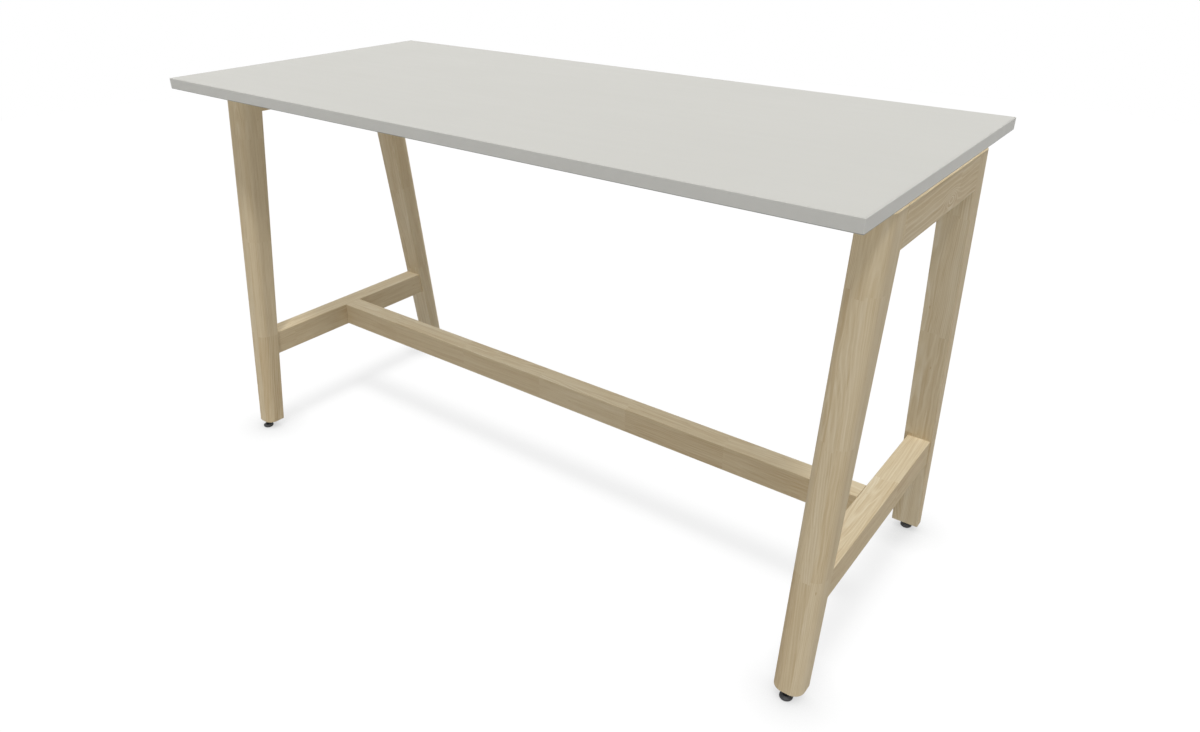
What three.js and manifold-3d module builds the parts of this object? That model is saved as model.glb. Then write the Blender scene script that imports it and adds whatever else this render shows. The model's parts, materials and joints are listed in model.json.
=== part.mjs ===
// A standing meeting table. A panel top with thin edge bands rests on spacers over two A-shaped end
// frames of solid wood, and one low stretcher ties the frames together. Each leg has a levelling foot.
// Millimetres, +Z up. The origin is on the floor under the middle of the top, +X runs along the top
// and -Y is the front. An end frame is modelled once, with its own +X pointing out of the table, and
// the left one is its mirror image.

import * as THREE from 'three';
import { mergeVertices } from 'three/addons/utils/BufferGeometryUtils.js';
import Module from 'manifold-3d';

// Top
const TABLE_HEIGHT = 1025;
const TOP_LENGTH = 1800;
const TOP_DEPTH = 800;
const TOP_THICKNESS = 25;
const BAND_THICKNESS = 2;
const BAND_ROUND = 1; // rounding of the bands' upper and lower edges
const CORNER_ROUND = 2; // rounding of the top's four corners, seen from above

// Legs: the reaches are distances from the table's middle plane, to the side of the leg that faces
// its partner and to the rounded side that faces away
const LEG_THICKNESS = 65;
const LEG_INSET = 5; // from the end of the top
const LEG_FLOOR_GAP = 22;
const LEG_ROUND = 25;
const LEG_END_ROUND = 1; // rounding of the edges at the top and the bottom
const LEG_INNER_REACH = { top: 195, bottom: 314 };
const LEG_OUTER_REACH = { top: 266, bottom: 362 };

// Beams, rails and stretcher
const BEAM_THICKNESS = 54;
const BEAM_HEIGHT = 74;
const RAIL_THICKNESS = 54;
const RAIL_HEIGHT = 65.5;
const RAIL_TOP = 294;
const RAIL_INSET = 3; // from the legs' outside faces
const STRETCHER_THICKNESS = 53;
const ARRIS = 1.5; // rounding along the edges of the wood

// Loose tenons between the legs and the beams and rails
const TENON_THICKNESS = 12;
const TENON_LENGTH = 44;
const TENON_MARGIN = 14; // wood left above and below a tenon

// Stretcher joint: a hanger bolt in the rail, a half-moon washer and a nut in a pocket, two dowels
const HANGER_LENGTH = 90;
const HANGER_IN_RAIL = 42;
const HANGER_DIAMETER = 8;
const POCKET_DIAMETER = 30;
const POCKET_SETBACK = 45; // from the stretcher's end to the middle of the pocket
const POCKET_OVER_BOLT = 12;
const WASHER_SETBACK = 7; // from the middle of the pocket to the washer's flat side
const WASHER_HEIGHT = 16;
const NUT_ACROSS_FLATS = 13;
const NUT_THICKNESS = 6.5;
const DOWEL_DIAMETER = 10;
const DOWEL_LENGTH = 50;
const DOWEL_OFFSET = 16; // from the bolt

// Top fixings: bolts from below through the beam and a spacer into threaded inserts
const FIXING_REACH = 130; // from the table's middle plane
const SPACER_HEIGHT = 9;
const SPACER_DIAMETER = 30;
const FIXING_DIAMETER = 6;
const FIXING_HEAD_DIAMETER = 10;
const FIXING_HEAD_HEIGHT = 6;
const FIXING_SOCKET = 5; // across flats
const FIXING_SOCKET_DEPTH = 3.5;
const COUNTERBORE_DIAMETER = 16;
const COUNTERBORE_DEPTH = 14;
const TOP_INSERT_DIAMETER = 10;
const TOP_INSERT_LENGTH = 12.5;

// Levelling feet
const FOOT_REACH = { front: 349, back: 336 }; // from the table's middle plane
const PAD_DIAMETER = 28;
const PAD_HEIGHT = 8;
const PAD_CHAMFER = 2.5;
const PAD_BOSS_DIAMETER = 17;
const PAD_SOCKET_FLOOR = 3;
const STEM_DIAMETER = 8;
const STEM_TOP = 58; // screwed right in, it stays clear of the end of the bore
const STEM_HEX = 13; // across flats
const STEM_HEX_HEIGHT = 5;
const FOOT_INSERT_DIAMETER = 12;
const FOOT_INSERT_LENGTH = 20;
const FOOT_BORE_DEPTH = 46;

// Fit and facets
const FIT = 0.3; // gap between pieces that touch
const SLIP = 0.4; // gap round a turning stem or a bolt
const ROUND_SIDES = 24; // of pads, spacers and pockets
const ROD_SIDES = 12; // of fasteners and their holes
const ARC_STEPS_PER_MM = 0.4;
const LEAST_ARC_STEPS = 3;

// Worked out from the above
const UNDERSIDE = TABLE_HEIGHT - TOP_THICKNESS;
const FRAME_TOP = UNDERSIDE - SPACER_HEIGHT;
const FRAME_X = TOP_LENGTH / 2 - LEG_INSET - LEG_THICKNESS / 2;
const BEAM_X = LEG_THICKNESS / 2 - BEAM_THICKNESS / 2;
const BEAM_Z = FRAME_TOP - BEAM_HEIGHT / 2;
const RAIL_X = LEG_THICKNESS / 2 - RAIL_INSET - RAIL_THICKNESS / 2;
const RAIL_Z = RAIL_TOP - RAIL_HEIGHT / 2;
const RAIL_INNER_X = RAIL_X - RAIL_THICKNESS / 2;
const POCKET_X = RAIL_INNER_X - POCKET_SETBACK;
const HANGER_X = RAIL_INNER_X + HANGER_IN_RAIL - HANGER_LENGTH / 2;
const SIDES = [{ name: 'left', sign: -1 }, { name: 'right', sign: 1 }];
const ENDS = [{ name: 'front', sign: -1 }, { name: 'back', sign: 1 }];

const AXIS_X = new THREE.Vector3(1, 0, 0);
const AXIS_Y = new THREE.Vector3(0, 1, 0);
const AXIS_Z = new THREE.Vector3(0, 0, 1);
// An outline's x and y and its depth of extrusion become Y, Z, X or Z, X, Y
const ALONG_X = new THREE.Matrix4().makeBasis(AXIS_Y, AXIS_Z, AXIS_X);
const ALONG_Y = new THREE.Matrix4().makeBasis(AXIS_Z, AXIS_X, AXIS_Y);

const material = (color, roughness, metalness = 0) =>
  new THREE.MeshStandardMaterial({ color, roughness, metalness });
const GREY_FACE = material(0xd4d3ce, 0.5);
const GREY_BAND = material(0xcfcec9, 0.45);
const PALE_WOOD = material(0xc3b08c, 0.6);
const TENON_WOOD = material(0xc9a77c, 0.7);
const STEEL = material(0xa8a8a6, 0.35, 1);
const BLACK_STEEL = material(0x2a2a2b, 0.45, 1);
const BLACK_PLASTIC = material(0x2b2b2b, 0.55);

const wasm = await Module();
wasm.setup();

// Solids and booleans

function solidOf(geometry) {
  const bare = geometry.clone();
  bare.deleteAttribute('normal');
  bare.deleteAttribute('uv');
  const merged = mergeVertices(bare);
  return new wasm.Manifold(new wasm.Mesh({
    numProp: 3,
    vertProperties: new Float32Array(merged.attributes.position.array),
    triVerts: new Uint32Array(merged.index.array),
  }));
}

function geometryOf(solid) {
  const { vertProperties, triVerts } = solid.getMesh();
  const geometry = new THREE.BufferGeometry();
  geometry.setAttribute('position', new THREE.BufferAttribute(vertProperties, 3));
  geometry.setIndex(new THREE.BufferAttribute(triVerts, 1));
  geometry.computeVertexNormals();
  return geometry;
}

function cut(geometry, cutters) {
  return geometryOf(cutters.reduce((solid, cutter) => solid.subtract(solidOf(cutter)), solidOf(geometry)));
}

function join(first, second) {
  return geometryOf(solidOf(first).add(solidOf(second)));
}

function common(first, second) {
  return geometryOf(solidOf(first).intersect(solidOf(second)));
}

function piece(name, geometry, finish, x = 0, y = 0, z = 0) {
  const mesh = new THREE.Mesh(geometry, finish);
  mesh.name = name;
  mesh.position.set(x, y, z);
  return mesh;
}

// Basic forms

function arc(x, y, radius, from) {
  const steps = Math.max(LEAST_ARC_STEPS, Math.round(radius * ARC_STEPS_PER_MM));
  return Array.from({ length: steps + 1 }, (_, step) => {
    const angle = from + (Math.PI / 2) * (step / steps);
    return new THREE.Vector2(x + radius * Math.cos(angle), y + radius * Math.sin(angle));
  });
}

// A rectangle centred in x that stands on y = 0, with one radius for its lower and one for its upper corners.
function roundedOutline(width, height, lower, upper) {
  const half = width / 2;
  return new THREE.Shape([
    ...arc(half - lower, lower, lower, -Math.PI / 2),
    ...arc(half - upper, height - upper, upper, 0),
    ...arc(upper - half, height - upper, upper, Math.PI / 2),
    ...arc(lower - half, lower, lower, Math.PI),
  ]);
}

function extrude(outline, depth) {
  return new THREE.ExtrudeGeometry(outline, { depth, bevelEnabled: false });
}

// An outline raised from one height to another, with its lower and upper edges rounded.
function roundedPrism(outline, low, high, radius) {
  return new THREE.ExtrudeGeometry(outline, {
    depth: high - low - 2 * radius,
    bevelThickness: radius,
    bevelSize: radius,
    bevelOffset: -radius,
    bevelSegments: LEAST_ARC_STEPS,
  }).translate(0, 0, low + radius);
}

// A bar centred on its section and its length, with rounded long edges.
function roundedBar(width, height, radius, length) {
  const outline = roundedOutline(width, height, radius, radius);
  return extrude(outline, length).translate(0, -height / 2, -length / 2);
}

function rodZ(diameter, low, high, sides = ROD_SIDES) {
  return new THREE.CylinderGeometry(diameter / 2, diameter / 2, high - low, sides)
    .rotateX(Math.PI / 2)
    .translate(0, 0, (low + high) / 2);
}

function rodX(diameter, length, sides = ROD_SIDES) {
  return new THREE.CylinderGeometry(diameter / 2, diameter / 2, length, sides).rotateZ(Math.PI / 2);
}

const hexDiameter = (acrossFlats) => acrossFlats / Math.cos(Math.PI / 6);

// A ring or sleeve about the Z axis.
function sleeve(outer, inner, low, high, sides) {
  const profile = [[inner, low], [outer, low], [outer, high], [inner, high], [inner, low]];
  return revolve(profile.map(([diameter, z]) => [diameter / 2, z]), sides);
}

function revolve(profile, sides) {
  const points = profile.map(([radius, z]) => new THREE.Vector2(radius, z));
  return new THREE.LatheGeometry(points, sides).rotateX(Math.PI / 2);
}

// Moves every vertex to the y that the rule gives for its own x, y and z.
function bendY(geometry, rule) {
  const position = geometry.attributes.position;
  for (let i = 0; i < position.count; i += 1) {
    position.setY(i, rule(position.getX(i), position.getY(i), position.getZ(i)));
  }
  return geometry;
}

// The top

function tabletopPanel() {
  const length = TOP_LENGTH - 2 * (BAND_THICKNESS + FIT);
  const depth = TOP_DEPTH - 2 * (BAND_THICKNESS + FIT);
  const panel = new THREE.BoxGeometry(length, depth, TOP_THICKNESS)
    .translate(0, 0, UNDERSIDE + TOP_THICKNESS / 2);
  const hole = rodZ(TOP_INSERT_DIAMETER + 2 * FIT, UNDERSIDE - FIT, UNDERSIDE + TOP_INSERT_LENGTH + 2 * FIT);
  const holes = SIDES.flatMap((side) => ENDS.map((end) =>
    hole.clone().translate(side.sign * (FRAME_X + BEAM_X), end.sign * FIXING_REACH, 0)));
  return piece('tabletop_panel', cut(panel, holes), GREY_FACE);
}

// The four bands are strips of one rounded slab. The front and back ones run on over the ends of the others.
function edgeBands() {
  const outline = roundedOutline(TOP_LENGTH, TOP_DEPTH, CORNER_ROUND, CORNER_ROUND);
  const slab = roundedPrism(outline, UNDERSIDE, TABLE_HEIGHT, BAND_ROUND).translate(0, -TOP_DEPTH / 2, 0);
  const strip = (length, depth, x, y) =>
    new THREE.BoxGeometry(length, depth, TOP_THICKNESS).translate(x, y, UNDERSIDE + TOP_THICKNESS / 2);
  const fromMiddle = (size) => (size - BAND_THICKNESS) / 2;
  const sideLength = TOP_DEPTH - 2 * (BAND_THICKNESS + FIT);
  const ofEnds = ENDS.map((end) => piece(`edge_band_${end.name}`,
    common(slab, strip(TOP_LENGTH, BAND_THICKNESS, 0, end.sign * fromMiddle(TOP_DEPTH))), GREY_BAND));
  const ofSides = SIDES.map((side) => piece(`edge_band_${side.name}`,
    common(slab, strip(BAND_THICKNESS, sideLength, side.sign * fromMiddle(TOP_LENGTH), 0)), GREY_BAND));
  return [...ofEnds, ...ofSides];
}

// The end frames

function reachAt(reach, z) {
  const down = (FRAME_TOP - z) / (FRAME_TOP - LEG_FLOOR_GAP);
  return THREE.MathUtils.lerp(reach.top, reach.bottom, down);
}

const legInner = (z) => reachAt(LEG_INNER_REACH, z);
const legOuter = (z) => reachAt(LEG_OUTER_REACH, z);
const footY = (end) => end.sign * FOOT_REACH[end.name];

// A loose tenon, or with a gap round it the mortise that it fits.
function tenon(height, gap = 0) {
  const thickness = TENON_THICKNESS + 2 * gap;
  return roundedBar(height + 2 * gap, thickness, thickness / 2, TENON_LENGTH + 2 * gap).applyMatrix4(ALONG_Y);
}

const TENONS = [
  { name: 'upper', x: BEAM_X, z: BEAM_Z, height: BEAM_HEIGHT - 2 * TENON_MARGIN },
  { name: 'lower', x: RAIL_X, z: RAIL_Z, height: RAIL_HEIGHT - 2 * TENON_MARGIN },
];

const mortise = (row, end) => tenon(row.height, FIT).translate(row.x, end.sign * legInner(row.z), row.z);

// The section is extruded upright, then its flat side and its rounded side lean by their own reach,
// so the leg is splayed, is deeper at the top and keeps its corner radius.
function leg(end, sideName) {
  const depth = LEG_OUTER_REACH.bottom - LEG_INNER_REACH.bottom;
  const section = roundedOutline(LEG_THICKNESS, depth, ARRIS, LEG_ROUND);
  const shaft = roundedPrism(section, LEG_FLOOR_GAP, FRAME_TOP, LEG_END_ROUND);
  const betweenArcs = (ARRIS + depth - LEG_ROUND) / 2;
  bendY(shaft, (x, y, z) => (y > betweenArcs ? legOuter(z) - (depth - y) : legInner(z) + y));
  if (end.sign < 0) shaft.rotateZ(Math.PI);
  const bore = rodZ(FOOT_INSERT_DIAMETER + 2 * FIT, LEG_FLOOR_GAP - FIT, LEG_FLOOR_GAP + FOOT_BORE_DEPTH)
    .translate(0, footY(end), 0);
  const mortises = TENONS.map((row) => mortise(row, end));
  return piece(`leg_${end.name}_${sideName}`, cut(shaft, [bore, ...mortises]), PALE_WOOD);
}

// A bar between the two legs, cut at both ends along their leaning sides.
function crossBar(thickness, height, x, z) {
  const bar = roundedBar(height, thickness, ARRIS, 1).applyMatrix4(ALONG_Y).translate(x, 0, z);
  return bendY(bar, (px, py, pz) => Math.sign(py) * (legInner(pz) - FIT));
}

function upperBeam(sideName) {
  const beam = crossBar(BEAM_THICKNESS, BEAM_HEIGHT, BEAM_X, BEAM_Z);
  const low = FRAME_TOP - BEAM_HEIGHT;
  const cutters = ENDS.flatMap((end) => [
    mortise(TENONS[0], end),
    rodZ(FIXING_DIAMETER + 2 * SLIP, low, FRAME_TOP + FIT).translate(BEAM_X, end.sign * FIXING_REACH, 0),
    rodZ(COUNTERBORE_DIAMETER, low - FIT, low + COUNTERBORE_DEPTH)
      .translate(BEAM_X, end.sign * FIXING_REACH, 0),
  ]);
  return piece(`upper_beam_${sideName}`, cut(beam, cutters), PALE_WOOD);
}

// Holes of the stretcher joint, about the middle of the joint's face on the rail.
function jointHoles() {
  const bolt = rodX(HANGER_DIAMETER + 2 * SLIP, HANGER_LENGTH + 2 * FIT)
    .translate(HANGER_X - RAIL_INNER_X, 0, 0);
  const dowels = ENDS.map((end) =>
    rodX(DOWEL_DIAMETER + 2 * FIT, DOWEL_LENGTH + 2 * FIT).translate(0, end.sign * DOWEL_OFFSET, 0));
  return [bolt, ...dowels];
}

function lowerRail(sideName) {
  const rail = crossBar(RAIL_THICKNESS, RAIL_HEIGHT, RAIL_X, RAIL_Z);
  const holes = jointHoles().map((hole) => hole.translate(RAIL_INNER_X, 0, RAIL_Z));
  const mortises = ENDS.map((end) => mortise(TENONS[1], end));
  return piece(`lower_rail_${sideName}`, cut(rail, [...holes, ...mortises]), PALE_WOOD);
}

function tenons(sideName) {
  return TENONS.flatMap((row) => ENDS.map((end) => piece(`${row.name}_tenon_${end.name}_${sideName}`,
    tenon(row.height), TENON_WOOD, row.x, end.sign * legInner(row.z), row.z)));
}

// The stretcher and its joints

function stretcher() {
  const reach = FRAME_X + RAIL_INNER_X;
  const bar = roundedBar(STRETCHER_THICKNESS, RAIL_HEIGHT, ARRIS, 2 * (reach - FIT))
    .applyMatrix4(ALONG_X)
    .translate(0, 0, RAIL_Z);
  const pocket = rodZ(POCKET_DIAMETER, RAIL_TOP - RAIL_HEIGHT - FIT, RAIL_Z + POCKET_OVER_BOLT, ROUND_SIDES);
  const cutters = SIDES.flatMap((side) => [
    pocket.clone().translate(side.sign * (FRAME_X + POCKET_X), 0, 0),
    ...jointHoles().map((hole) => {
      if (side.sign < 0) hole.rotateZ(Math.PI);
      return hole.translate(side.sign * reach, 0, RAIL_Z);
    }),
  ]);
  return piece('stretcher', cut(bar, cutters), PALE_WOOD);
}

// A slice of the pocket's round, so that its back bears on the pocket's wall and the nut on its flat side.
function halfMoonWasher() {
  const round = rodZ(POCKET_DIAMETER - 2 * FIT, -WASHER_HEIGHT / 2, WASHER_HEIGHT / 2, ROUND_SIDES);
  const flat = new THREE.BoxGeometry(POCKET_DIAMETER, POCKET_DIAMETER, POCKET_DIAMETER)
    .translate(WASHER_SETBACK - POCKET_DIAMETER / 2, 0, 0);
  const hole = rodX(HANGER_DIAMETER + 2 * SLIP, 2 * POCKET_DIAMETER);
  return cut(round, [flat, hole]);
}

function stretcherJoint(sideName) {
  const nut = cut(rodX(hexDiameter(NUT_ACROSS_FLATS), NUT_THICKNESS, 6),
    [rodX(HANGER_DIAMETER + 2 * SLIP, 2 * NUT_THICKNESS)]);
  const nutX = POCKET_X + WASHER_SETBACK - FIT - NUT_THICKNESS / 2;
  const dowel = rodX(DOWEL_DIAMETER, DOWEL_LENGTH);
  return [
    piece(`stretcher_bolt_${sideName}`, rodX(HANGER_DIAMETER, HANGER_LENGTH), STEEL, HANGER_X, 0, RAIL_Z),
    piece(`stretcher_washer_${sideName}`, halfMoonWasher(), STEEL, POCKET_X, 0, RAIL_Z),
    piece(`stretcher_nut_${sideName}`, nut, STEEL, nutX, 0, RAIL_Z),
    ...ENDS.map((end) => piece(`stretcher_dowel_${end.name}_${sideName}`, dowel, TENON_WOOD,
      RAIL_INNER_X, end.sign * DOWEL_OFFSET, RAIL_Z)),
  ];
}

// The fixings of the top

function topBolt() {
  const headTop = FRAME_TOP - BEAM_HEIGHT + COUNTERBORE_DEPTH - FIT;
  const headLow = headTop - FIXING_HEAD_HEIGHT;
  const bolt = revolve([
    [0, headLow],
    [FIXING_HEAD_DIAMETER / 2, headLow],
    [FIXING_HEAD_DIAMETER / 2, headTop],
    [FIXING_DIAMETER / 2, headTop],
    [FIXING_DIAMETER / 2, UNDERSIDE + TOP_INSERT_LENGTH],
    [0, UNDERSIDE + TOP_INSERT_LENGTH],
  ], ROD_SIDES);
  return cut(bolt, [rodZ(hexDiameter(FIXING_SOCKET), headLow - FIT, headLow + FIXING_SOCKET_DEPTH, 6)]);
}

function topFixings(sideName) {
  const bore = FIXING_DIAMETER + 2 * SLIP;
  const spacer = sleeve(SPACER_DIAMETER, bore, FRAME_TOP + FIT, UNDERSIDE - FIT, ROUND_SIDES);
  const insert = sleeve(TOP_INSERT_DIAMETER, bore, UNDERSIDE, UNDERSIDE + TOP_INSERT_LENGTH, ROD_SIDES);
  return ENDS.flatMap((end) => {
    const y = end.sign * FIXING_REACH;
    return [
      piece(`top_bolt_${end.name}_${sideName}`, topBolt(), STEEL, BEAM_X, y),
      piece(`top_spacer_${end.name}_${sideName}`, spacer, BLACK_PLASTIC, BEAM_X, y),
      piece(`top_insert_${end.name}_${sideName}`, insert, STEEL, BEAM_X, y),
    ];
  });
}

// The levelling feet

function footPad() {
  const radius = PAD_DIAMETER / 2;
  const socket = STEM_DIAMETER / 2 + SLIP;
  return revolve([
    [0, 0],
    [radius - PAD_CHAMFER, 0],
    [radius, PAD_CHAMFER],
    [radius, PAD_HEIGHT - PAD_CHAMFER],
    [PAD_BOSS_DIAMETER / 2, PAD_HEIGHT],
    [socket, PAD_HEIGHT],
    [socket, PAD_SOCKET_FLOOR],
    [0, PAD_SOCKET_FLOOR],
  ], ROUND_SIDES);
}

function footStem() {
  const hexLow = PAD_HEIGHT + FIT;
  const shank = rodZ(STEM_DIAMETER, PAD_SOCKET_FLOOR + FIT, STEM_TOP);
  return join(shank, rodZ(hexDiameter(STEM_HEX), hexLow, hexLow + STEM_HEX_HEIGHT, 6));
}

function levellingFoot(end, sideName) {
  const insert = sleeve(FOOT_INSERT_DIAMETER, STEM_DIAMETER + 2 * SLIP,
    LEG_FLOOR_GAP, LEG_FLOOR_GAP + FOOT_INSERT_LENGTH, ROD_SIDES);
  const label = `${end.name}_${sideName}`;
  const y = footY(end);
  return [
    piece(`foot_insert_${label}`, insert, STEEL, 0, y),
    piece(`foot_stem_${label}`, footStem(), BLACK_STEEL, 0, y),
    piece(`foot_pad_${label}`, footPad(), BLACK_PLASTIC, 0, y),
  ];
}

// The table

function endFrame(side) {
  const frame = new THREE.Group();
  frame.add(...ENDS.map((end) => leg(end, side.name)));
  frame.add(upperBeam(side.name), lowerRail(side.name), ...tenons(side.name));
  frame.add(...stretcherJoint(side.name), ...topFixings(side.name));
  frame.add(...ENDS.flatMap((end) => levellingFoot(end, side.name)));
  frame.position.x = side.sign * FRAME_X;
  frame.scale.x = side.sign;
  return frame;
}

const table = new THREE.Group();
table.add(tabletopPanel(), ...edgeBands(), stretcher(), ...SIDES.map(endFrame));

export default table;
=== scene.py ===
"""Looks of a standing meeting table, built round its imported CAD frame.

Metres, +Z up, and -Y is the front. The CAD nodes keep their shapes and get smooth shading and materials.
The levelling feet are remade with finer rounds and real threads.
"""

import json
from math import cos, floor, pi, radians, sin

import bmesh
import bpy
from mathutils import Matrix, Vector

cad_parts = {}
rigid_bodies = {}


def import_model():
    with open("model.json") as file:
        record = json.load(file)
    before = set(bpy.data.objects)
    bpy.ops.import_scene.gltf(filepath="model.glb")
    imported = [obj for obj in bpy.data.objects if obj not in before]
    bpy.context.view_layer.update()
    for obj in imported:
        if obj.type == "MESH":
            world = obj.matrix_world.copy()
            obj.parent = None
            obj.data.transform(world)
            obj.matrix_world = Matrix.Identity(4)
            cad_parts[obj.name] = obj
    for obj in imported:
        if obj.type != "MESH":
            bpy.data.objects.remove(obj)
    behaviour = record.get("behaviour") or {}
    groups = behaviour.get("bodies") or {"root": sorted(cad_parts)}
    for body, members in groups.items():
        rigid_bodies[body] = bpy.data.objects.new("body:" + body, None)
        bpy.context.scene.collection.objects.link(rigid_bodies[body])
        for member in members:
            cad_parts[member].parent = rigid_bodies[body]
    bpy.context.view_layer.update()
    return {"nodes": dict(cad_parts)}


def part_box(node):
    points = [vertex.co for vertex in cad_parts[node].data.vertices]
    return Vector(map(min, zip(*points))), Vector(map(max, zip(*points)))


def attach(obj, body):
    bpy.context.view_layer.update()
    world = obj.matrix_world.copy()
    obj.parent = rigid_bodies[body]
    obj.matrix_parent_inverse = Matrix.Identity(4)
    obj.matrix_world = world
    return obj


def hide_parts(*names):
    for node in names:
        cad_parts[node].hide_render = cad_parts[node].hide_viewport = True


def linear(red, green, blue):
    """A colour given in sRGB bytes, as the linear colour that nodes take."""

    def channel(byte):
        share = byte / 255
        return share / 12.92 if share <= 0.04045 else ((share + 0.055) / 1.055) ** 2.4

    return (channel(red), channel(green), channel(blue), 1)


SIDES = ("left", "right")
ENDS = ("front", "back")
LABELS = tuple(f"{end}_{side}" for end in ENDS for side in SIDES)
X_AXIS = Vector((1, 0, 0))
Y_AXIS = Vector((0, 1, 0))
Z_AXIS = Vector((0, 0, 1))

# The photograph's camera
PHOTO_WIDTH = 1200
FOCAL_LENGTH_IN_PIXELS = 883.03
SENSOR_WIDTH = 36
CAMERA_PLACE = (1.3126, -1.5798, 1.4275)
CAMERA_AZIMUTH = radians(36.707)
CAMERA_ELEVATION = radians(28.124)

# Light: strengths are shares of full light, and azimuths turn from straight in front towards the right
SKY_STRENGTH = 0.33
SUN_STRENGTH = 0.31
SUN_AZIMUTH = radians(42)
SUN_ELEVATION = radians(65)
SUN_BLUR = radians(10)
FILL_OVERHEAD = 0.35  # the fills cast no shadows
FILL_FRONT = 0.1
FILL_RIGHT = 0.045
FILL_BACK = 0.1
FILL_LEFT = 0.02
FILL_FRAMES = 0.24  # on the tops of the legs and beams, which show as a light line under the table's edge
FILL_FRAMES_AZIMUTH = pi  # from behind
FILL_FRAMES_ELEVATION = radians(84)  # along the front legs' faces

# Floor
FLOOR_RADIUS = 6.0
FLOOR_SIDES = 128
FLOOR_COLOUR = 0.53  # what lights the table from below
FLOOR_SEEN_COLOUR = 0.04
FLOOR_LAMP_SHARE = 0.18  # of the white, and what the rails and the stretcher can take away
FLOOR_LAMP_AZIMUTH = radians(35)
FLOOR_LAMP_ELEVATION = radians(84.7)
FLOOR_LAMP_BLUR = radians(22)
FLOOR_WHITE = 0.8  # its own light, which the other lamps fill up to white
FLOOR_LIGHT_DROP = 0.001  # the unseen floor lies this far below the seen one
# Painted contact shadow: ambient occlusion dims the floor's glow near what stands close over it
CONTACT_REACH = 0.1
CONTACT_WHITE = 0.35  # left where nothing but the table is in view
CONTACT_SAMPLES = 8

# Shading
MERGE_DISTANCE = 1e-5
SMOOTH_ANGLE = radians(40)
NOISE_SPAN = (0.3, 0.7)  # where most of a noise's values lie

# Wood: strips side by side, each a row of blocks glued end to end
STRIP_WIDTH = 0.0217
BLOCK_LENGTH = 0.281
BLOCK_STAGGER = 0.012
JOINT_WIDTH = 0.0003
LEG_LEAN = radians(6.3)

# Where one joint between blocks lies, measured along the piece
LEG_JOINTS = {"front": 0.262, "back": 0.275}
BEAM_JOINT = 0.077
RAIL_JOINT = 0.073
STRETCHER_JOINT = -0.335

# Which blocks a piece is made of
LEG_SEEDS = {"front_left": 167.0, "front_right": 233.0, "back_left": 172.0, "back_right": 10.0}
BEAM_SEEDS = {"left": 31.0, "right": 222.0}
RAIL_SEEDS = {"left": 438.0, "right": 1160.0}
STRETCHER_SEED = 1379.0
TENON_SEED = 71.0
DOWEL_SEED = 83.0

# Growth rings, and the knot that they bend round
RING_WIDTH = 0.003
BEAM_RING_WIDTH = 0.009
RING_WOBBLE = 0.7  # of a ring
RING_LINE = 0.25  # half of the light line's width, as a share of a ring
PITH_DISTANCE = 0.05
PITH_SPREAD = 0.08
GRAIN_LEAN = 0.05
GRAIN_BEND = 0.002
KNOT_LENGTH = 0.032
KNOT_WIDTH = 0.015
KNOT_RINGS = 4  # pushed aside in its middle
KNOT_FIGURE = 0.5  # how much clearer its lines are
BEAM_KNOTS = {"left": None, "right": Vector((0.895, 0.045, 0.942))}

# Noise cells per metre: along the grain, across it and into the wood
WOBBLE_CELLS = (5, 30, 30)
STREAK_CELLS = (1.6, 75, 75)
FIBRE_CELLS = (8, 290, 290)
PORE_CELLS = (45, 1500, 1500)
PIN_KNOT_CELLS = (9, 28, 28)
BEND_CELLS = (9, 12, 1)  # the last one per block
FIBRE_ROUGHNESS = 0.6  # of the noise
PORE_EDGE = (0.62, 0.72)  # of the noise, and a pore lies above it
PIN_KNOT_EDGE = (0.02, 0.05)  # of a cell, and a pin knot lies within it

# What each pattern adds to the shade, from 0, dark, to 1, light
BASE_SHADE = 0.27
BLOCK_SHADE = 0.24
STREAK_SHADE = 0.34
FIBRE_SHADE = 0.42
LINE_SHADES = (0.12, 0.42)  # from plain blocks to figured ones
PORE_SHADE = -0.12
PIN_KNOT_SHADE = -0.5

# What each pattern adds to the relief, as shares of its depth
WOOD_RELIEF = 0.00012
FIBRE_RELIEF = 0.5
LINE_RELIEF = -0.6
PORE_RELIEF = -0.6
JOINT_RELIEF = -0.8

# Wood colours
WOOD_ROUGHNESS = (0.62, 0.52)  # dark and light
WOOD_SPECULAR = 0.06
PALE_WOOD = (linear(196, 173, 136), linear(217, 201, 169), linear(229, 217, 193))
BEECH = (linear(178, 138, 98), linear(206, 172, 130), linear(224, 196, 158))
# Painted light and shade on the wood: tints by how far a face looks up, darker below, warmer and darker
# on upright faces, paler on top
PAINTED_UNDER_SHADE = (0.918, 0.92, 0.926, 1)
PAINTED_UPRIGHT_SHADE = (0.961, 0.934, 0.893, 1)
PAINTED_LEVEL_LIGHT = (0.99, 1.0, 1.02, 1)  # painted light: what faces up is paler and cooler
PAINTED_LIGHT_BY_FACING = ((-0.1, PAINTED_UNDER_SHADE), (-0.02, PAINTED_UPRIGHT_SHADE), (0.3, PAINTED_UPRIGHT_SHADE), (0.9, PAINTED_LEVEL_LIGHT))  # painted light and shade, by facing

# Melamine, and the painted shade of a dark line along the lower edge of its edging
FACE_GREY = linear(211, 210, 204)
BAND_GREY = linear(214, 213, 207)
GREY_SWING = 0.006
GREY_CLOUDS = 5  # per metre
GREY_SPECULAR = 0.22
GREY_ROUGHNESS = (0.5, 0.58)
WIPING_CELLS = (3, 40, 40)
PEARLS = 1400  # per metre
PEARL_RELIEF = 0.00003
PEARL_STRENGTH = 0.5
PAINTED_EDGE_SHADE_HEIGHT = 0.0018
PAINTED_EDGE_SHADE = 0.4  # of its colour

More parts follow.
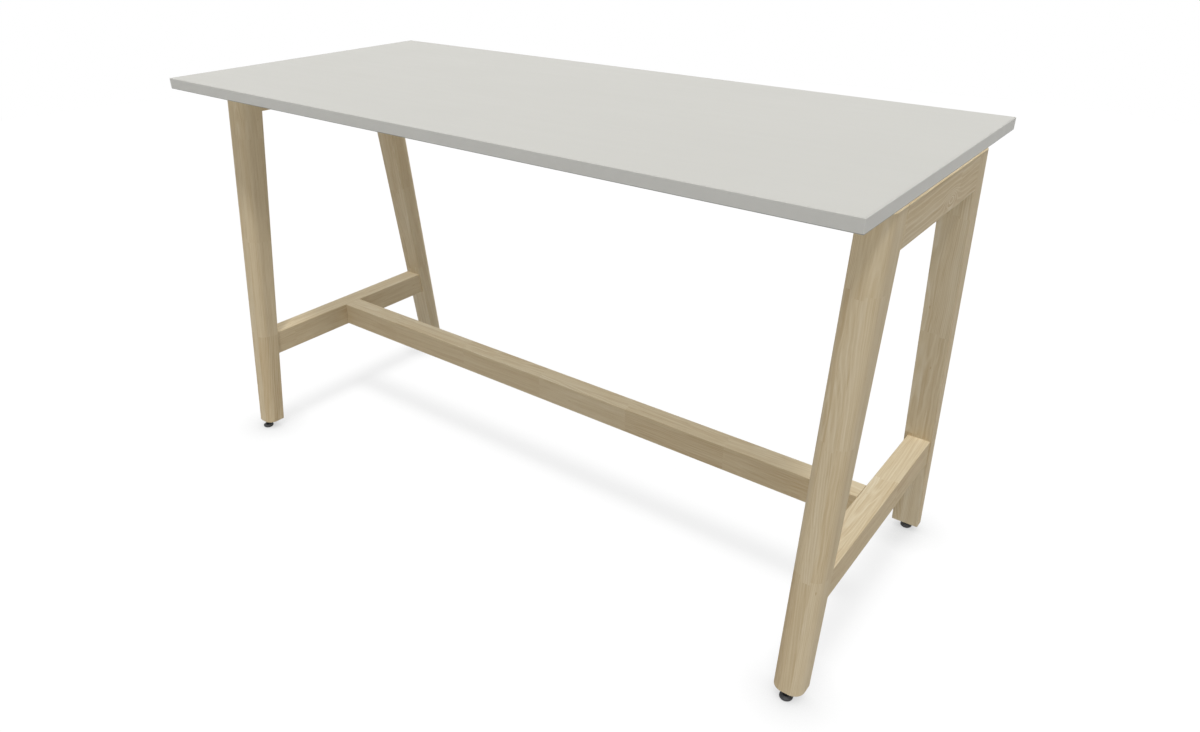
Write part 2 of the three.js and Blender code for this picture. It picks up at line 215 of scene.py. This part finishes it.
# Steel
STEEL_CLOUDS = 180  # per metre
TURNING_CELLS = (60, 60, 5000)
TURNING_RELIEF = 0.00001
TURNING_STRENGTH = 0.6
ZINC = ((0.3, linear(176, 176, 170)), (0.55, linear(196, 197, 196)), (0.75, linear(205, 204, 196)))
ZINC_ROUGHNESS = (0.28, 0.45)
BLACKENED = ((0.3, linear(34, 34, 35)), (0.7, linear(46, 46, 48)))
BLACKENED_ROUGHNESS = (0.4, 0.55)

# Plastic
PLASTIC = ((0.3, linear(38, 38, 40)), (0.7, linear(48, 48, 50)))
PLASTIC_ROUGHNESS = (0.5, 0.62)
PLASTIC_CLOUDS = 120  # per metre
SPARKS = 2600  # per metre
SPARK_RELIEF = 0.00004
SPARK_STRENGTH = 0.7

# Levelling feet
PAD_SIDES = 72
PAD_CHAMFER = 0.0025
PAD_BOSS_RADIUS = 0.0085
PAD_SOCKET_PLAY = 0.0004
PAD_EDGE_ROUND = 0.0006
PAD_EDGE_STEPS = 3
STEM_SIDES = 48
STEM_RADIUS = 0.004
HEX_ACROSS_FLATS = 0.013
HEX_HEIGHT = 0.005
HEX_CHAMFER = 0.0005
HEX_END_ROUND = 1.02  # its radius, as a share of the flats'
HEX_LOW = 0.0083  # above the floor
THREAD_PITCH = 0.00125
THREAD_DEPTH = 0.0006
THREAD_ROWS_PER_TURN = 6


# Node trees


class Graph:
    """A node tree, with short calls that add a node, set or link its inputs and give its output."""

    def __init__(self, tree):
        self.tree = tree

    def add(self, kind, inputs=None, **settings):
        node = self.tree.nodes.new(kind)
        for key, value in settings.items():
            setattr(node, key, value)
        self.feed(node, inputs or {})
        return node

    def feed(self, node, inputs):
        """Links what comes from another node, and sets plain values on the input itself."""
        for key, value in inputs.items():
            if isinstance(value, bpy.types.NodeSocket):
                self.tree.links.new(value, node.inputs[key])
            else:
                node.inputs[key].default_value = value

    def math(self, operation, *values):
        return self.add("ShaderNodeMath", dict(enumerate(values)), operation=operation).outputs[0]

    def total(self, first, *others):
        for other in others:
            first = self.math("ADD", first, other)
        return first

    def dot(self, vector, axis):
        node = self.add("ShaderNodeVectorMath", {0: vector, 1: tuple(axis)}, operation="DOT_PRODUCT")
        return node.outputs["Value"]

    def length(self, vector):
        return self.add("ShaderNodeVectorMath", {0: vector}, operation="LENGTH").outputs["Value"]

    def multiply(self, first, second):
        node = self.add("ShaderNodeVectorMath", {0: first, 1: second}, operation="MULTIPLY")
        return node.outputs["Vector"]

    def combine(self, x, y, z):
        return self.add("ShaderNodeCombineXYZ", {0: x, 1: y, 2: z}).outputs[0]

    def noise(self, vector, scale=1.0, detail=2.0, roughness=0.5):
        inputs = {"Vector": vector, "Scale": scale, "Detail": detail, "Roughness": roughness}
        return self.add("ShaderNodeTexNoise", inputs).outputs[0]

    def dice(self, vector):
        """Three random numbers that stay the same as long as the vector does."""
        node = self.add("ShaderNodeTexWhiteNoise", {"Vector": vector}, noise_dimensions="3D")
        return self.add("ShaderNodeSeparateColor", {0: node.outputs["Color"]}).outputs

    def span(self, value, source, target):
        """Maps a value from one span to another, held at its ends."""
        inputs = {0: value, 1: source[0], 2: source[1], 3: target[0], 4: target[1]}
        return self.add("ShaderNodeMapRange", inputs).outputs[0]

    def about(self, value, amount):
        """A value between 0 and 1 as a swing of that amount about zero."""
        return self.math("MULTIPLY_ADD", value, 2 * amount, -amount)

    def ramp(self, factor, stops):
        node = self.add("ShaderNodeValToRGB", {0: factor})
        elements = node.color_ramp.elements
        while len(elements) < len(stops):
            elements.new(1)
        for element, (position, colour) in zip(elements, stops):
            element.position = position
            element.color = colour
        return node.outputs["Color"]

    def bump(self, height, distance, strength=1.0):
        inputs = {"Height": height, "Distance": distance, "Strength": strength}
        return self.add("ShaderNodeBump", inputs).outputs[0]


def new_material(name):
    material = bpy.data.materials.new(name)
    material.use_nodes = True
    graph = Graph(material.node_tree)
    surface = material.node_tree.nodes["Principled BSDF"]
    place = graph.add("ShaderNodeTexCoord").outputs["Object"]
    return material, graph, surface, place


# Materials


def wood(
    name, along, across, middle, first_joint, seed, palette=PALE_WOOD, ring_width=RING_WIDTH, knot=None,
):
    """Strips lie side by side along `across`, and each is a row of blocks along `along`.

    Every block is its own piece of a tree: its tone, its place in the growth rings and the lean of its
    grain are drawn by the strip's and the block's number. The rings bend round the knot, if there is one.
    """
    material, graph, surface, place = new_material(name)
    deep = along.cross(across)
    length = graph.dot(place, along)
    width = graph.math("SUBTRACT", graph.dot(place, across), middle.dot(across))
    depth = graph.math("SUBTRACT", graph.dot(place, deep), middle.dot(deep))

    strip = graph.math("FLOOR", graph.math("MULTIPLY_ADD", width, 1 / STRIP_WIDTH, 0.5))
    stagger = graph.about(graph.dice(graph.combine(strip, seed, 0.0))[0], BLOCK_STAGGER)
    from_joint = graph.math("DIVIDE", graph.total(length, stagger, -first_joint), BLOCK_LENGTH)
    block = graph.math("FLOOR", from_joint)
    tone, drift, lean = graph.dice(graph.combine(strip, block, seed))

    in_block = graph.combine(length, width, block)
    bend = graph.about(graph.noise(graph.multiply(in_block, BEND_CELLS)), GRAIN_BEND)
    lean_across = graph.math("MULTIPLY", length, graph.about(lean, GRAIN_LEAN))
    lean_deep = graph.math("MULTIPLY", length, graph.about(tone, GRAIN_LEAN))
    pith_depth = graph.math("MULTIPLY_ADD", lean, PITH_SPREAD, PITH_DISTANCE)
    across_tree = graph.total(width, bend, lean_across, graph.about(drift, PITH_SPREAD))
    deep_in_tree = graph.total(depth, bend, lean_deep, pith_depth)
    in_tree = graph.combine(length, across_tree, deep_in_tree)

    from_pith = graph.length(graph.combine(0.0, across_tree, deep_in_tree))
    wobble = graph.about(graph.noise(graph.multiply(in_tree, WOBBLE_CELLS), detail=3), RING_WOBBLE)
    age = graph.math("MULTIPLY_ADD", from_pith, 1 / ring_width, wobble)
    figure = graph.span(drift, (0, 1), LINE_SHADES)
    if knot:
        heart = knot_heart(graph, place, (along, across, deep), knot)
        age = graph.math("MULTIPLY_ADD", heart, KNOT_RINGS, age)
        figure = graph.math("MULTIPLY_ADD", heart, KNOT_FIGURE, figure)
    from_line = graph.math("ABSOLUTE", graph.math("SUBTRACT", graph.math("FRACT", age), 0.5))
    lines = graph.math("MULTIPLY", graph.span(from_line, (0, RING_LINE), (1, 0)), figure)

    streaks = graph.noise(graph.multiply(in_tree, STREAK_CELLS))
    fibres = graph.noise(graph.multiply(in_tree, FIBRE_CELLS), detail=3, roughness=FIBRE_ROUGHNESS)
    pores = graph.span(graph.noise(graph.multiply(in_tree, PORE_CELLS), detail=1), PORE_EDGE, (0, 1))
    inputs = {"Vector": graph.multiply(in_tree, PIN_KNOT_CELLS), "Scale": 1.0}
    from_speck = graph.add("ShaderNodeTexVoronoi", inputs).outputs["Distance"]
    pin_knots = graph.span(from_speck, PIN_KNOT_EDGE, (1, 0))
    joint = graph.math("LESS_THAN", graph.math("FRACT", from_joint), JOINT_WIDTH / BLOCK_LENGTH)

    shade = graph.total(
        graph.math("MULTIPLY_ADD", tone, BLOCK_SHADE, BASE_SHADE),
        graph.about(streaks, STREAK_SHADE),
        graph.about(fibres, FIBRE_SHADE),
        lines,
        graph.math("MULTIPLY", pores, PORE_SHADE),
        graph.math("MULTIPLY", pin_knots, PIN_KNOT_SHADE),
    )
    relief = graph.total(
        graph.math("MULTIPLY", fibres, FIBRE_RELIEF),
        graph.math("MULTIPLY", lines, LINE_RELIEF),
        graph.math("MULTIPLY", pores, PORE_RELIEF),
        graph.math("MULTIPLY", joint, JOINT_RELIEF),
    )
    dark, middling, light = palette
    colour = graph.ramp(shade, ((0, dark), (0.5, middling), (1, light)))
    # The base colour carries painted light and shade: it is tinted by how far each face looks up
    graph.feed(surface, {
        "Base Color": graph.multiply(colour, painted_tint_by_facing(graph)),
        "Roughness": graph.span(shade, (0, 1), WOOD_ROUGHNESS),
        "Specular IOR Level": WOOD_SPECULAR,
        "Normal": graph.bump(relief, WOOD_RELIEF),
    })
    return material


def knot_heart(graph, place, axes, knot):
    """1 in the middle of the knot, falling off smoothly along and across the grain."""
    out = [graph.math("SUBTRACT", graph.dot(place, axis), knot.dot(axis)) for axis in axes]
    stretched = graph.multiply(graph.combine(*out), (1 / KNOT_LENGTH, 1 / KNOT_WIDTH, 1 / KNOT_WIDTH))
    reach = graph.length(stretched)
    return graph.math("EXPONENT", graph.math("MULTIPLY", graph.math("MULTIPLY", reach, reach), -1))


def painted_tint_by_facing(graph):
    """The painted light and shade for how far a face looks up, from -1 to 1, on a ramp that runs from 0
    to 1.
    """
    faces_up = graph.dot(graph.add("ShaderNodeNewGeometry").outputs["Normal"], Z_AXIS)
    factor = graph.math("MULTIPLY_ADD", faces_up, 0.5, 0.5)
    return graph.ramp(factor, [((facing + 1) / 2, tint) for facing, tint in PAINTED_LIGHT_BY_FACING])


def grey_laminate(name, colour, painted_shade_top=0.0):
    """A matt melamine face with a fine pearl texture and very faint wiping marks in its gloss.

    Below the height of `painted_shade_top` it is darker, with painted shade where its lower edge turns
    under.
    """
    material, graph, surface, place = new_material(name)
    cloud = graph.noise(place, scale=GREY_CLOUDS, detail=3)
    tones = [scaled(colour, 1 - GREY_SWING), scaled(colour, 1 + GREY_SWING)]
    clouded = graph.ramp(cloud, list(zip(NOISE_SPAN, tones)))
    height = graph.dot(place, Z_AXIS)
    # painted shade: a dark line at the bottom of the edging, where its rounded lower edge turns away from
    # the light
    line = graph.span(height, (painted_shade_top - PAINTED_EDGE_SHADE_HEIGHT / 2, painted_shade_top), (PAINTED_EDGE_SHADE, 1))
    wiping = graph.noise(graph.multiply(place, WIPING_CELLS), detail=3)
    pearls = graph.noise(place, scale=PEARLS)
    graph.feed(surface, {
        "Base Color": graph.multiply(clouded, line),
        "Roughness": graph.span(wiping, NOISE_SPAN, GREY_ROUGHNESS),
        "Specular IOR Level": GREY_SPECULAR,
        "Normal": graph.bump(pearls, PEARL_RELIEF, PEARL_STRENGTH),
    })
    return material


def scaled(colour, share):
    red, green, blue, alpha = colour
    return (red * share, green * share, blue * share, alpha)


def turned_steel(name, tints, roughness):
    """Plated or blackened steel with fine turning marks round the axis and a few duller clouds."""
    material, graph, surface, place = new_material(name)
    clouds = graph.noise(place, scale=STEEL_CLOUDS, detail=3)
    turning = graph.noise(graph.multiply(place, TURNING_CELLS))
    graph.feed(surface, {
        "Base Color": graph.ramp(clouds, tints),
        "Metallic": 1,
        "Roughness": graph.span(clouds, NOISE_SPAN, roughness),
        "Normal": graph.bump(turning, TURNING_RELIEF, TURNING_STRENGTH),
    })
    return material


def moulded_plastic(name):
    """Plastic with the fine texture of a sparked mould."""
    material, graph, surface, place = new_material(name)
    clouds = graph.noise(place, scale=PLASTIC_CLOUDS, detail=3)
    sparks = graph.noise(place, scale=SPARKS)
    graph.feed(surface, {
        "Base Color": graph.ramp(clouds, PLASTIC),
        "Roughness": graph.span(clouds, NOISE_SPAN, PLASTIC_ROUGHNESS),
        "Normal": graph.bump(sparks, SPARK_RELIEF, SPARK_STRENGTH),
    })
    return material


# Meshes


def smooth_shading():
    """A modifier that joins the frame's loose triangles and smooths every edge but the sharp ones."""
    group = bpy.data.node_groups.new("smooth_shading", "GeometryNodeTree")
    group.interface.new_socket("Geometry", in_out="INPUT", socket_type="NodeSocketGeometry")
    group.interface.new_socket("Geometry", in_out="OUTPUT", socket_type="NodeSocketGeometry")
    graph = Graph(group)
    given = graph.add("NodeGroupInput").outputs[0]
    inputs = {"Geometry": given, "Distance": MERGE_DISTANCE}
    joined = graph.add("GeometryNodeMergeByDistance", inputs).outputs[0]
    angle = graph.add("GeometryNodeInputMeshEdgeAngle").outputs["Unsigned Angle"]
    sharp = graph.math("GREATER_THAN", angle, SMOOTH_ANGLE)
    inputs = {"Mesh": joined, "Remove Custom": True, "Edge Sharpness": sharp, "Face Sharpness": False}
    shaded = graph.add("GeometryNodeSetMeshNormal", inputs, mode="SHARPNESS").outputs[0]
    graph.add("NodeGroupOutput", {0: shaded})
    return group


def smooth(piece, group):
    """Keeps large faces flat up to their rounded edges: a normal follows the largest face beside it."""
    piece.modifiers.new("smooth_shading", "NODES").node_group = group
    weights = piece.modifiers.new("face_weights", "WEIGHTED_NORMAL")
    weights.mode = "FACE_AREA"
    weights.keep_sharp = True


def dress(names, material):
    for name in names:
        slots = frame["nodes"][name].data.materials
        slots.clear()
        slots.append(material)


def turn(count):
    """That many angles, evenly spread over one turn."""
    return [2 * pi * step / count for step in range(count)]


def skin(mesh, rings):
    """Faces between rings of vertices. A ring on the axis is one vertex, repeated."""
    for low, high in zip(rings, rings[1:]):
        for side in range(len(low)):
            after = (side + 1) % len(low)
            corners = (low[side], low[after], high[after], high[side])
            mesh.faces.new(tuple(dict.fromkeys(corners)))


def finished(name, mesh):
    bmesh.ops.recalc_face_normals(mesh, faces=mesh.faces)
    data = bpy.data.meshes.new(name)
    mesh.to_mesh(data)
    mesh.free()
    piece = bpy.data.objects.new(name, data)
    bpy.context.scene.collection.objects.link(piece)
    return piece


def lathe(name, profile, sides):
    """Turns a list of (radius, height) points, from the axis back to the axis, about Z."""
    mesh = bmesh.new()
    rings = []
    for radius, height in profile:
        if radius == 0:
            rings.append([mesh.verts.new((0, 0, height))] * sides)
        else:
            around = [(radius * cos(angle), radius * sin(angle), height) for angle in turn(sides)]
            rings.append([mesh.verts.new(point) for point in around])
    skin(mesh, rings)
    return finished(name, mesh)


# Levelling feet


def foot_pad(name, node):
    low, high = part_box(node)
    radius = (high.x - low.x) / 2
    height = high.z - low.z
    socket = STEM_RADIUS + PAD_SOCKET_PLAY
    pad = lathe(name, (
        (0, 0),
        (radius - PAD_CHAMFER, 0),
        (radius, PAD_CHAMFER),
        (radius, height - PAD_CHAMFER),
        (PAD_BOSS_RADIUS, height),
        (socket, height),
        (socket, height / 2),
        (0, height / 2),
    ), PAD_SIDES)
    pad.location = ((low.x + high.x) / 2, (low.y + high.y) / 2, low.z)
    rounding = pad.modifiers.new("edge_round", "BEVEL")
    rounding.width = PAD_EDGE_ROUND
    rounding.segments = PAD_EDGE_STEPS
    rounding.limit_method = "ANGLE"
    return pad


# The radius of each form of the stem, at an angle and a height


def plain_radius(angle, height):
    return STEM_RADIUS - THREAD_DEPTH


def hexagon_radius(angle, height):
    sixth = pi / 3
    from_flat = (angle + sixth / 2) % sixth - sixth / 2
    return HEX_ACROSS_FLATS / 2 / cos(from_flat)


def hexagon_end_radius(angle, height):
    return min(hexagon_radius(angle, height), HEX_ACROSS_FLATS / 2 * HEX_END_ROUND)


def thread_radius(angle, height):
    turns = height / THREAD_PITCH - angle / (2 * pi)
    from_crest = abs(turns - floor(turns + 0.5)) * 2
    return STEM_RADIUS - THREAD_DEPTH * from_crest


def foot_stem(name, node):
    """A plain pin in the pad, a hexagon to turn it by, and a right-hand thread up into the leg."""
    low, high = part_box(node)
    hex_high = HEX_LOW + HEX_HEIGHT
    rows = [
        (low.z, plain_radius),
        (HEX_LOW, plain_radius),
        (HEX_LOW, hexagon_end_radius),
        (HEX_LOW + HEX_CHAMFER, hexagon_radius),
        (hex_high - HEX_CHAMFER, hexagon_radius),
        (hex_high, hexagon_end_radius),
        (hex_high, plain_radius),
    ]
    step = THREAD_PITCH / THREAD_ROWS_PER_TURN
    count = int((high.z - hex_high) / step)
    rows += [(hex_high + step * (row + 1), thread_radius) for row in range(count)]
    mesh = bmesh.new()
    rings = []
    for height, radius_at in rows:
        polar = [(radius_at(angle, height), angle) for angle in turn(STEM_SIDES)]
        around = [(radius * cos(angle), radius * sin(angle), height) for radius, angle in polar]
        rings.append([mesh.verts.new(point) for point in around])
    skin(mesh, rings)
    mesh.faces.new(rings[0])
    mesh.faces.new(rings[-1])
    stem = finished(name, mesh)
    stem.location = ((low.x + high.x) / 2, (low.y + high.y) / 2, 0)
    return stem


def add_feet(shading, plastic, dark_steel):
    for label in LABELS:
        pad = foot_pad(f"pad_look_{label}", f"foot_pad_{label}")
        pad.data.materials.append(plastic)
        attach(pad, f"pad_{label}")
        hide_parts(f"foot_pad_{label}")
        stem = foot_stem(f"stem_look_{label}", f"foot_stem_{label}")
        stem.data.materials.append(dark_steel)
        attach(stem, f"stem_{label}")
        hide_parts(f"foot_stem_{label}")
        for piece in (pad, stem):
            smooth(piece, shading)


# The table's materials


def middle_of(node):
    low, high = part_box(node)
    return (low + high) / 2


def dress_top():
    dress(["tabletop_panel"], grey_laminate("grey_face", FACE_GREY))
    bands = [f"edge_band_{place}" for place in ENDS + SIDES]
    edge_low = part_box(bands[0])[0].z
    # the edging's bottom gets a painted shade line
    dress(bands, grey_laminate("grey_band", BAND_GREY, edge_low + PAINTED_EDGE_SHADE_HEIGHT))


def dress_frame():
    for end in ENDS:
        lean = LEG_LEAN if end == "front" else -LEG_LEAN
        up_the_leg = Vector((0, sin(lean), cos(lean)))
        for side in SIDES:
            label = f"{end}_{side}"
            leg = f"leg_{label}"
            places = (up_the_leg, X_AXIS, middle_of(leg), LEG_JOINTS[end])
            dress([leg], wood(f"wood_{leg}", *places, LEG_SEEDS[label]))
    for side in SIDES:
        beam = f"upper_beam_{side}"
        places = (Y_AXIS, X_AXIS, middle_of(beam), BEAM_JOINT)
        rings = {"ring_width": BEAM_RING_WIDTH, "knot": BEAM_KNOTS[side]}
        dress([beam], wood(f"wood_{beam}", *places, BEAM_SEEDS[side], **rings))
        rail = f"lower_rail_{side}"
        places = (Y_AXIS, X_AXIS, middle_of(rail), RAIL_JOINT)
        dress([rail], wood(f"wood_{rail}", *places, RAIL_SEEDS[side]))
    places = (X_AXIS, Y_AXIS, middle_of("stretcher"), STRETCHER_JOINT)
    dress(["stretcher"], wood("wood_stretcher", *places, STRETCHER_SEED))


def dress_fasteners(plastic, steel, dark_steel):
    origin = Vector()
    tenons = [f"{level}_tenon_{label}" for level in ("upper", "lower") for label in LABELS]
    dress(tenons, wood("wood_tenons", Y_AXIS, X_AXIS, origin, 0.0, TENON_SEED, BEECH))
    dowels = [f"stretcher_dowel_{label}" for label in LABELS]
    dress(dowels, wood("wood_dowels", X_AXIS, Y_AXIS, origin, 0.0, DOWEL_SEED, BEECH))

    at_corners = ("foot_insert", "top_bolt", "top_insert")
    at_sides = ("stretcher_bolt", "stretcher_washer", "stretcher_nut")
    dress([f"{kind}_{label}" for kind in at_corners for label in LABELS], steel)
    dress([f"{kind}_{side}" for kind in at_sides for side in SIDES], steel)
    dress([f"foot_stem_{label}" for label in LABELS], dark_steel)
    dress([f"{kind}_{label}" for kind in ("foot_pad", "top_spacer") for label in LABELS], plastic)


# Floor, light and camera


def grey(value):
    return (value, value, value, 1)


def seen_directly(graph):
    """1 for what the camera sees, itself or in a mirror or through glass, and 0 for light on surfaces."""
    rays = graph.add("ShaderNodeLightPath").outputs
    either = graph.math("MAXIMUM", rays["Is Camera Ray"], rays["Is Glossy Ray"])
    return graph.math("MAXIMUM", either, rays["Is Transmission Ray"])


def collection(name, members):
    group = bpy.data.collections.new(name)
    for member in members:
        group.objects.link(member)
    return group


def add_lamp(name, strength, azimuth, elevation, blur=0, shadow=False):
    lamp = bpy.data.lights.new(name, "SUN")
    lamp.energy = strength * pi
    lamp.angle = blur
    lamp.use_shadow = shadow
    piece = bpy.data.objects.new(name, lamp)
    piece.rotation_euler = (pi / 2 - elevation, 0, azimuth)
    bpy.context.scene.collection.objects.link(piece)
    return piece


def add_disc(name, seen):
    """A floor for the rays that see it, or for the ones that only carry its light to the table."""
    mesh = bmesh.new()
    bmesh.ops.create_circle(mesh, cap_ends=True, segments=FLOOR_SIDES, radius=FLOOR_RADIUS)
    piece = finished(name, mesh)
    piece.visible_camera = seen
    piece.visible_glossy = seen
    piece.visible_transmission = seen
    piece.visible_diffuse = not seen
    piece.visible_shadow = not seen
    material = bpy.data.materials.new(name)
    material.use_nodes = True
    material.node_tree.nodes.clear()
    piece.data.materials.append(material)
    return piece, Graph(material.node_tree)


def add_floor():
    """White where it is seen, with the soft shadows of what stands close over it: a lamp's real shadow of
    the low bars, and painted contact shadow round the legs and feet.
    """
    unseen, graph = add_disc("floor_light", seen=False)
    unseen.location.z = -FLOOR_LIGHT_DROP
    bounce = graph.add("ShaderNodeBsdfDiffuse", {"Color": grey(FLOOR_COLOUR)}).outputs[0]
    graph.add("ShaderNodeOutputMaterial", {"Surface": bounce})

    shown, graph = add_disc("floor", seen=True)
    # painted contact shadow: the floor's glow is dimmed by ambient occlusion where legs and feet stand
    # close over it
    contact_shade = graph.add("ShaderNodeAmbientOcclusion", {"Distance": CONTACT_REACH}, samples=CONTACT_SAMPLES)
    white = graph.span(contact_shade.outputs["AO"], (0, 1), (CONTACT_WHITE * FLOOR_WHITE, FLOOR_WHITE))
    glow = graph.add("ShaderNodeEmission", {"Color": grey(1), "Strength": white}).outputs[0]
    shade = graph.add("ShaderNodeBsdfDiffuse", {"Color": grey(FLOOR_SEEN_COLOUR)}).outputs[0]
    both = graph.add("ShaderNodeAddShader", {0: glow, 1: shade}).outputs[0]
    graph.add("ShaderNodeOutputMaterial", {"Surface": both})
    light_floor(shown)


def light_floor(shown):
    """A lamp for the seen floor alone, which only the low bars of the table block."""
    strength = FLOOR_LAMP_SHARE / FLOOR_SEEN_COLOUR
    direction = (FLOOR_LAMP_AZIMUTH, FLOOR_LAMP_ELEVATION)
    lamp = add_lamp("floor_lamp", strength, *direction, FLOOR_LAMP_BLUR, shadow=True)
    low_bars = [frame["nodes"][name] for name in ("lower_rail_left", "lower_rail_right", "stretcher")]
    lamp.light_linking.receiver_collection = collection("floor_lamp_lights", [shown])
    lamp.light_linking.blocker_collection = collection("floor_lamp_shadows", low_bars)


def add_world():
    world = bpy.data.worlds.new("studio")
    bpy.context.scene.world = world
    world.use_nodes = True
    world.node_tree.nodes.clear()
    graph = Graph(world.node_tree)
    strength = graph.span(seen_directly(graph), (0, 1), (SKY_STRENGTH, 1))
    background = graph.add("ShaderNodeBackground", {"Color": grey(1), "Strength": strength}).outputs[0]
    graph.add("ShaderNodeOutputWorld", {"Surface": background})


def add_lamps():
    add_lamp("sun", SUN_STRENGTH, SUN_AZIMUTH, SUN_ELEVATION, SUN_BLUR, shadow=True)
    add_lamp("fill_overhead", FILL_OVERHEAD, 0, pi / 2)
    for quarter, strength in enumerate((FILL_FRONT, FILL_RIGHT, FILL_BACK, FILL_LEFT)):
        add_lamp(f"fill_{quarter}", strength, quarter * pi / 2, 0)
    lamp = add_lamp("fill_frames", FILL_FRAMES, FILL_FRAMES_AZIMUTH, FILL_FRAMES_ELEVATION)
    names = [f"leg_{label}" for label in LABELS] + [f"upper_beam_{side}" for side in SIDES]
    tops = [frame["nodes"][name] for name in names]
    lamp.light_linking.receiver_collection = collection("fill_frames_lights", tops)


def add_camera():
    data = bpy.data.cameras.new("camera")
    data.sensor_fit = "HORIZONTAL"
    data.sensor_width = SENSOR_WIDTH
    data.lens = FOCAL_LENGTH_IN_PIXELS / PHOTO_WIDTH * SENSOR_WIDTH
    camera = bpy.data.objects.new("camera", data)
    camera.location = CAMERA_PLACE
    camera.rotation_euler = (pi / 2 - CAMERA_ELEVATION, 0, CAMERA_AZIMUTH)
    bpy.context.scene.collection.objects.link(camera)
    bpy.context.scene.camera = camera


for leftover in list(bpy.data.objects):
    bpy.data.objects.remove(leftover)
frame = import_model()

bpy.context.scene.view_settings.view_transform = "Standard"
shading = smooth_shading()
plastic = moulded_plastic("black_plastic")
steel = turned_steel("zinc_steel", ZINC, ZINC_ROUGHNESS)
dark_steel = turned_steel("black_steel", BLACKENED, BLACKENED_ROUGHNESS)
dress_top()
dress_frame()
dress_fasteners(plastic, steel, dark_steel)
for node in frame["nodes"].values():
    smooth(node, shading)
add_feet(shading, plastic, dark_steel)
add_floor()
add_world()
add_lamps()
add_camera()
